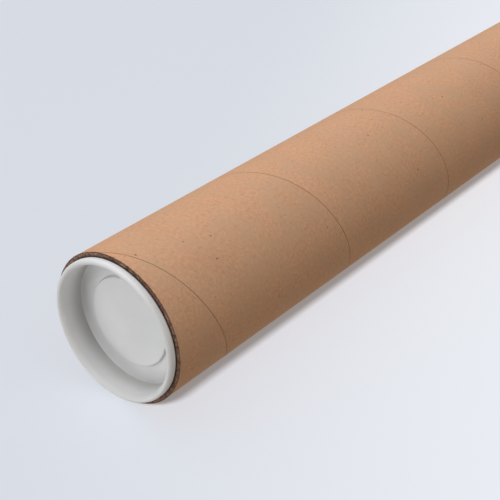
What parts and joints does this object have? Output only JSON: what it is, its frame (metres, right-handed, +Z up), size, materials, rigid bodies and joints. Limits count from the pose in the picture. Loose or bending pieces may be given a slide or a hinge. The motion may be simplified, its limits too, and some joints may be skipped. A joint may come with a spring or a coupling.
{
  "type": "drawing tube",
  "caption": "Round spiral-wound paperboard tube for rolled drawings, closed at each end by a white plastic push-in plug with a recessed face.",
  "frame": {"origin": "on the floor under the middle of the tube, at the centre of the bottom of the bounding box", "axes": "+Y along the tube from the near plug to the far plug, +Z up, +X to the right seen from the near plug"},
  "size_m": [0.0804, 0.6184, 0.08],
  "materials": {
    "kraft_paper": "matt brown kraft with fine fibres and small flecks",
    "tube_board": "dull grey-brown chipboard, rough where it is cut",
    "white_plastic": "white moulded polyethylene, satin"
  },
  "bodies": {
    "tube": {"outer_kraft_wrap": "kraft_paper", "board_ply_1": "tube_board", "board_ply_2": "tube_board", "board_ply_3": "tube_board", "board_ply_4": "tube_board", "inner_kraft_liner": "kraft_paper"},
    "near_plug": {"near_end_plug": "white_plastic"},
    "far_plug": {"far_end_plug": "white_plastic"}
  },
  "joints": [
    {"name": "near_plug_pull", "type": "slide", "parent": "tube", "child": "near_plug", "axis": [0, -1, 0], "range_m": [0, 0.03]},
    {"name": "far_plug_pull", "type": "slide", "parent": "tube", "child": "far_plug", "axis": [0, 1, 0], "range_m": [0, 0.03]}
  ]
}
